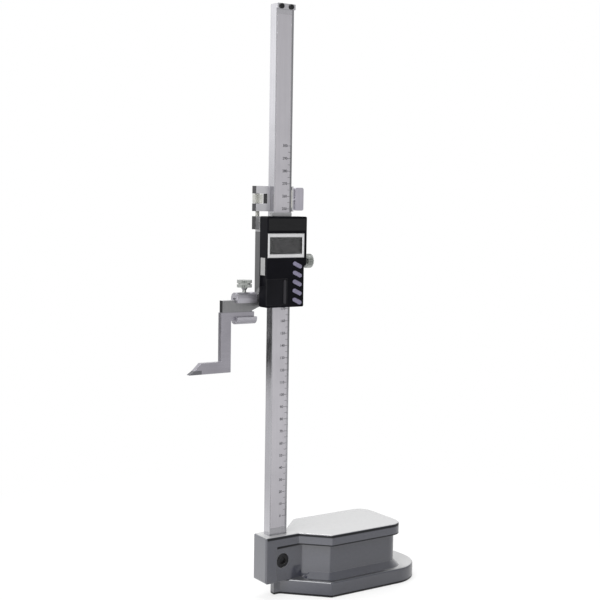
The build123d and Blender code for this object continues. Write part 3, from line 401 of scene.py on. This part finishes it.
finish = {
    "casting": casting_paint("casting_paint"),
    "column": ground_steel("column_steel", (0.46, 0.455, 0.48), 0.13, "z", 0.07, worn=0.35),
    "scale": ground_steel("scale_satin_chrome", (0.57, 0.555, 0.59), 0.36, "z", 0.05, worn=0.3,
                          smudge=0.06),
    "slider": ground_steel("slider_steel", (0.46, 0.46, 0.47), 0.40, "z", 0.05, metallic=0.8,
                           painted_shades=slider_painted_shades),
    "carriage": ground_steel("carriage_steel", (0.60, 0.595, 0.62), 0.38, "x", 0.05,
                             metallic=0.8, painted_shades=carriage_painted_shades),
    "scriber": ground_steel("scriber_steel", (0.34, 0.33, 0.365), 0.28, "x", 0.05),
    "clamp": ground_steel("clamp_steel", (0.46, 0.45, 0.49), 0.36, "x", 0.07, metallic=0.8),
    "carbide": ground_steel("carbide_tip", (0.17, 0.17, 0.185), 0.24, "x", 0.08),
    "spade": ground_steel("spade_steel", (0.48, 0.465, 0.52), 0.32, "z", 0.08),
    "bezel": ground_steel("bezel_anodised", (0.72, 0.72, 0.73), 0.26, "x", 0.05, worn=0.4,
                          smudge=0.04),
    "knurled": turned_steel("knurled_chrome", (0.44, 0.455, 0.44), 0.24),
    "turned": turned_steel("turned_steel", (0.60, 0.60, 0.57), 0.20),
    "nickel": turned_steel("nickel_plate", (0.60, 0.59, 0.56), 0.18),
    "oxide": black_oxide("black_oxide"),
    "case": moulded("case_plastic", (0.0035, 0.0035, 0.0055), 0.50, depth=0.22, worn=0.20,
                    shine=0.06),
    "door": moulded("door_plastic", (0.0045, 0.0045, 0.0065), 0.46, worn=0.9, shine=0.10,
                    pale_level=rib_back),
    "grey_door": moulded("grey_door_plastic", (0.36, 0.36, 0.36), 0.45, depth=0.2, worn=0.3,
                         shine=0.3),
    "connector": moulded("connector_plastic", (0.02, 0.02, 0.02), 0.50, grain=0.25, depth=0.2),
    "keys": moulded("key_caps", (0.19, 0.175, 0.26), 0.20, grain=0.5, depth=0.10, worn=1.0),
    "glass": glass("window_glass"),
    "cell": liquid_crystal("liquid_crystal"),
    "panel": gloss_inlay("panel_inlay", (0.010, 0.010, 0.011)),
    "rubber": rubber("silicone", (0.20, 0.20, 0.21)),
    "brass": brass("plain_brass"),
    "board": board("circuit_board_green"),
    "ink": printed("graduation_ink", (0.020, 0.020, 0.026)),
}

dress = {
    "base_casting": "casting", "column_dowel": "turned", "column_clamp_screw": "oxide",
    "column_clamp_pad": "brass", "column": "column", "scale_strip": "scale",
    "column_stop": "column", "column_stop_screws": "oxide", "slider_body": "slider",
    "slider_back_plate": "slider", "slider_back_screws": "oxide", "slider_gib": "brass",
    "gib_set_screws": "oxide", "slider_lock_screw": "knurled", "fine_adjust_screw": "turned",
    "fine_adjust_pin": "turned", "fine_adjust_nut": "turned", "carriage_body": "carriage",
    "carriage_gib": "nickel", "carriage_clamp_screw": "spade", "scriber_clamp": "clamp",
    "scriber_clamp_pad": "clamp", "scriber_clamp_screw": "knurled", "scriber": "scriber",
    "scriber_tip": "carbide", "display_housing": "case", "display_bezel": "bezel",
    "display_window": "glass", "display_cell": "cell", "cell_contact_strips": "rubber",
    "top_panel": "panel", "circuit_board": "board", "reading_head": "board",
    "housing_screws": "oxide", "key_pad": "rubber", "battery": "nickel",
    "battery_contact": "brass", "battery_cover": "door", "port_cover": "grey_door",
    "port_connector": "connector",
}
for number in range(1, 6):
    dress[f"button_{number}"] = "keys"
for name, key in dress.items():
    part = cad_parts[name]
    part.data.materials.clear()
    part.data.materials.append(finish[key])


# ------------------------------------------------------------------ pieces of the scene
def add_piece(name, mesh, key, body):
    """An object that wears a finish and rides on a CAD body."""
    mesh.materials.append(finish[key])
    piece = bpy.data.objects.new(name, mesh)
    bpy.context.scene.collection.objects.link(piece)
    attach(piece, body)
    return piece


def add_faces(name, vertices, faces, key, body):
    mesh = bpy.data.meshes.new(name)
    mesh.from_pydata([(x * MM, y * MM, z * MM) for x, y, z in vertices], [], faces)
    return add_piece(name, mesh, key, body)


# graduations and numbers, as ink on the column
ZERO = 66.3                     # height of the scale's zero line
SPAN = 300                      # graduated length
INK = 0.015                     # the ink stands this far out of the steel
THIN, THICK = 0.22, 0.32        # widths of the lines
TENS_REACH, FIVES_REACH = 2.6, 1.5      # how far they run over the scale strip
SEAM = 0.05                     # a line stops this far from the strip's edge
BEVEL_WIDE, BEVEL_DEEP = 2.2, 0.8       # the column's bevel along X and Y
BEVEL_SHARE = 0.85              # share of the bevel that a line crosses
NUMBER_SIZE = 3.0
NUMBER_INSET = 4.42             # from the strip's right edge to the numbers' middle
NUMBER_WEIGHT = 0.06            # the numbers' strokes are widened by this on each side
column_front, column_right = LOW["column"].y, HIGH["column"].x
strip_right = HIGH["scale_strip"].x


def graduations():
    """Millimetre lines on the column's bevel, the fives and tens running on over the scale."""
    front = column_front - INK
    bevel = column_right - BEVEL_WIDE
    slope = [(bevel + BEVEL_WIDE * t, front + BEVEL_DEEP * t) for t in (0.0, BEVEL_SHARE)]
    vertices, faces = [], []
    for step in range(SPAN + 1):
        strokes, half = [slope], THIN / 2
        if step % 5 == 0:
            reach = FIVES_REACH if step % 10 else TENS_REACH
            strokes.append([(strip_right - reach, front), (strip_right - SEAM, front)])
            strokes.append([(strip_right + SEAM, front), (bevel, front)])
            half = THICK / 2
        for stroke in strokes:
            a = len(vertices)
            vertices += [(x, y, ZERO + step + z) for x, y in stroke for z in (-half, half)]
            faces.append((a, a + 2, a + 3, a + 1))
    return vertices, faces


def lettering(name, items, size):
    """One flat mesh of texts that face -Y. items holds (text, x, y, z) of each text's middle."""
    joined = bmesh.new()
    for text, x, y, z in items:
        curve = bpy.data.curves.new(name, "FONT")
        curve.body = text
        curve.size = size * MM
        curve.align_x = "CENTER"
        curve.align_y = "CENTER"
        curve.resolution_u = 3
        curve.offset = NUMBER_WEIGHT * MM
        holder = bpy.data.objects.new(name, curve)
        mesh = bpy.data.meshes.new_from_object(holder)
        mesh.transform(Matrix.Translation(Vector((x, y, z)) * MM)
                       @ Matrix.Rotation(math.pi / 2, 4, "X"))
        joined.from_mesh(mesh)
        bpy.data.objects.remove(holder)
        bpy.data.curves.remove(curve)
        bpy.data.meshes.remove(mesh)
    mesh = bpy.data.meshes.new(name)
    joined.to_mesh(mesh)
    joined.free()
    return mesh


add_faces("scale_graduations", *graduations(), "ink", "base")
numbers = [(str(step), strip_right - NUMBER_INSET, column_front - INK, ZERO + step)
           for step in range(0, SPAN + 1, 10)]
add_piece("scale_numbers", lettering("scale_numbers", numbers, NUMBER_SIZE), "ink", "base")


# the fine adjustment's rod, with its thread
PITCH = 0.6
THREAD_DEPTH = 0.32
CORE_GROWTH = 0.02              # the core stands this far out of the thread's root


def thread(low, high, pitch, depth, turn_steps=28, ring=32):
    """A single-start thread along Z that fills the box from low to high, round a closed core."""
    middle = (low + high) / 2
    outer = (high.x - low.x) / 2
    root = outer - depth

    def around(radius, turn, height):
        angle = 2 * math.pi * turn
        return middle.x + radius * math.cos(angle), middle.y + radius * math.sin(angle), height

    profile = ((0.0, root), (0.30, outer), (0.45, outer), (0.75, root))     # share of pitch, radius
    steps = int((high.z - low.z) / pitch * turn_steps)
    vertices, faces = [], []
    for i in range(steps + 1):
        start = low.z + (high.z - low.z - pitch) * i / steps
        vertices += [around(radius, i / turn_steps, start + share * pitch)
                     for share, radius in profile]
    corners = len(profile)
    for i in range(steps):
        for j in range(corners - 1):
            a = i * corners + j
            faces.append((a, a + 1, a + 1 + corners, a + corners))
    core = len(vertices)
    for height in (low.z, high.z):
        vertices += [around(root + CORE_GROWTH, k / ring, height) for k in range(ring)]
    for k in range(ring):
        a, b = core + k, core + (k + 1) % ring
        faces.append((a, b, b + ring, a + ring))
    faces.append(tuple(core + k for k in reversed(range(ring))))
    faces.append(tuple(core + ring + k for k in range(ring)))
    return vertices, faces


rod = add_faces("fine_adjust_thread",
                *thread(LOW["fine_adjust_screw"], HIGH["fine_adjust_screw"], PITCH, THREAD_DEPTH),
                "turned", "slider")
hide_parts("fine_adjust_screw")

# a strip closes the back of the display's case where it stands out to the left of the slider
CASE_WALL = 1.9                 # the case's wall and a little air
STRIP_THICK, STRIP_SUNK = 0.95, 0.05
STRIP_LAP = 1.0                 # over the edge of the slider's back plate
case_low, case_high = LOW["display_housing"], HIGH["display_housing"]
strip_back = case_high.y - STRIP_SUNK
strip_x = (case_low.x + CASE_WALL, LOW["slider_back_plate"].x + STRIP_LAP)
strip_y = (strip_back - STRIP_THICK, strip_back)
strip_z = (case_low.z + CASE_WALL, case_high.z - CASE_WALL)
add_faces("display_back_strip", [(x, y, z) for x in strip_x for y in strip_y for z in strip_z],
          [(0, 1, 3, 2), (4, 6, 7, 5), (0, 4, 5, 1), (2, 3, 7, 6), (0, 2, 6, 4), (1, 5, 7, 3)],
          "case", "slider")

# ------------------------------------------------------------------ floor, in metres from here on
FLOOR_DROP = 0.0002             # the floor lies just below the foot

floor_mesh = bpy.data.meshes.new("floor")
floor_mesh.from_pydata([(-1, -1, 0), (1, -1, 0), (1, 1, 0), (-1, 1, 0)], [], [(0, 1, 2, 3)])
floor = bpy.data.objects.new("floor", floor_mesh)
floor.location.z = -FLOOR_DROP
bpy.context.scene.collection.objects.link(floor)

ground = bpy.data.materials.new("pale_floor")
ground.use_nodes = True
ground.node_tree.nodes.clear()
g = Graph(ground.node_tree)
output = g.node("ShaderNodeOutputMaterial")
diffuse = g.node("ShaderNodeBsdfDiffuse")
glow = g.node("ShaderNodeEmission")
mixed = g.node("ShaderNodeMixShader")
path = g.node("ShaderNodeLightPath")
mirrored = path.outputs["Is Glossy Ray"]
place = g.node("ShaderNodeTexCoord").outputs["Object"]
length = g.node("ShaderNodeVectorMath", operation="LENGTH")
g.feed(length.inputs[0], place)
away = length.outputs["Value"]
# the shadow keeps to the ground near the object, and the rest is plain white
share = g.math("MULTIPLY", g.math("MAXIMUM", path.outputs["Is Camera Ray"], mirrored),
               g.ease(away, 0.10, 0.45, 0.72, 1.0))
# painted shade seen only in mirrors: the ground close by is greyer, and painted brighter again on
# the left
grey = g.math("MULTIPLY", mirrored, g.ease(away, 0.12, 0.45, 0.50, 0.0),
              g.ease(g.axes(place)[X], -0.10, -0.03, -0.8, 1.0))
g.fill(diffuse, Color=(0.86, 0.86, 0.86))
g.fill(glow, Strength=g.math("SUBTRACT", 1.0, grey))
for socket, value in zip(mixed.inputs, (share, diffuse.outputs[0], glow.outputs[0])):
    g.feed(socket, value)
g.fill(output, Surface=mixed.outputs[0])
floor.data.materials.append(ground)

# ------------------------------------------------------------------ world
world = bpy.data.worlds.new("studio")
bpy.context.scene.world = world
world.use_nodes = True
w = Graph(world.node_tree)
east, north, height = w.axes(w.node("ShaderNodeTexCoord").outputs["Generated"])


def toward(to_east, to_north):
    """How far a ray points in a level direction, from -1 to 1."""
    return w.math("ADD", w.math("MULTIPLY", east, to_east), w.math("MULTIPLY", north, to_north))


WALL_GAIN = 0.7
GAP_DEPTH = 0.95
DIM_DEPTH = 0.70
SIDE_SHARE = 0.75               # of the ceiling's dimness
EVEN_GREY = 0.40

# metal and gloss see a white tent, with a dark gap low behind on the left, a bright wall above
# the gap, a dim front ceiling and a dim side on the right
behind_left = toward(-0.54, 0.84)
gap = w.math("MULTIPLY", w.ease(behind_left, 0.72, 0.90),
             w.ease(height, -0.075, -0.05, 1.0, 0.0), w.ease(height, -0.21, -0.175))
wall = w.math("MULTIPLY", w.ease(behind_left, 0.72, 0.90, 0.0, WALL_GAIN),
              w.ease(height, -0.02, 0.08))
ceiling = w.math("MULTIPLY", w.ease(north, 0.1, -0.5), w.ease(height, 0.04, 0.45))
dim = w.math("MAXIMUM", ceiling, w.ease(toward(0.96, -0.28), 0.80, 0.95, 0.0, SIDE_SHARE))
bright = w.math("SUBTRACT", w.math("ADD", 1.0, wall), w.math("MULTIPLY", gap, GAP_DEPTH))
tent = w.math("MULTIPLY", bright, w.math("SUBTRACT", 1.0, w.math("MULTIPLY", dim, DIM_DEPTH)))
# the camera sees white, mirrors see the tent, and the rest is an even grey
path = w.node("ShaderNodeLightPath")
camera_ray = path.outputs["Is Camera Ray"]
mirror_ray = w.math("MAXIMUM", path.outputs["Is Glossy Ray"], path.outputs["Is Transmission Ray"])
other_ray = w.math("SUBTRACT", 1.0, w.math("MAXIMUM", camera_ray, mirror_ray))
shade = w.math("ADD", w.math("MULTIPLY", mirror_ray, tent),
               w.math("MULTIPLY", other_ray, EVEN_GREY))
level = w.math("ADD", shade, w.math("MULTIPLY", camera_ray, w.math("SUBTRACT", 1.0, shade)))
w.fill(world.node_tree.nodes["Background"], Color=(1, 1, 1), Strength=level)


# ------------------------------------------------------------------ lamps and camera
def soft_box(name, place, target, size, power):
    """A square lamp of a given side, aimed at a place."""
    lamp = bpy.data.lights.new(name, "AREA")
    lamp.size = size
    lamp.energy = power
    holder = bpy.data.objects.new(name, lamp)
    holder.location = place
    aim = Vector(target) - Vector(place)
    holder.rotation_euler = aim.to_track_quat("-Z", "Y").to_euler()
    bpy.context.scene.collection.objects.link(holder)


soft_box("key_light", (-1.2, -0.5, 1.3), (0, 0, 0.2), 1.2, 24.0)
soft_box("fill_light", (0.3, -1.5, 1.7), (0, 0, 0.2), 1.0, 5.0)
soft_box("top_light", (0.2, 0.6, 1.8), (0, 0, 0.1), 1.2, 26.0)

# the photo's camera, fitted to the places of the scale's numbers and to the straight edges
CAMERA_PLACE = (-0.57666, -0.78729, 0.32369)
AZIMUTH, PITCH_DOWN, ROLL = math.radians(-34.02), math.radians(4.9), 0.0155
LENS, SENSOR = 70.1, 36.0       # mm

back = Vector((math.sin(AZIMUTH) * math.cos(PITCH_DOWN),
               -math.cos(AZIMUTH) * math.cos(PITCH_DOWN), math.sin(PITCH_DOWN)))
right = Vector((math.cos(AZIMUTH), math.sin(AZIMUTH), 0))
up = back.cross(right)
columns = (math.cos(ROLL) * right + math.sin(ROLL) * up,
           math.cos(ROLL) * up - math.sin(ROLL) * right, back)
lens = bpy.data.cameras.new("camera")
lens.lens = LENS
lens.sensor_width = SENSOR
lens.clip_start = 0.01
camera = bpy.data.objects.new("camera", lens)
camera.matrix_world = Matrix.Translation(CAMERA_PLACE) @ Matrix(columns).transposed().to_4x4()
bpy.context.scene.collection.objects.link(camera)
bpy.context.scene.camera = camera
bpy.context.scene.view_settings.view_transform = "Standard"

bpy.context.view_layer.update()
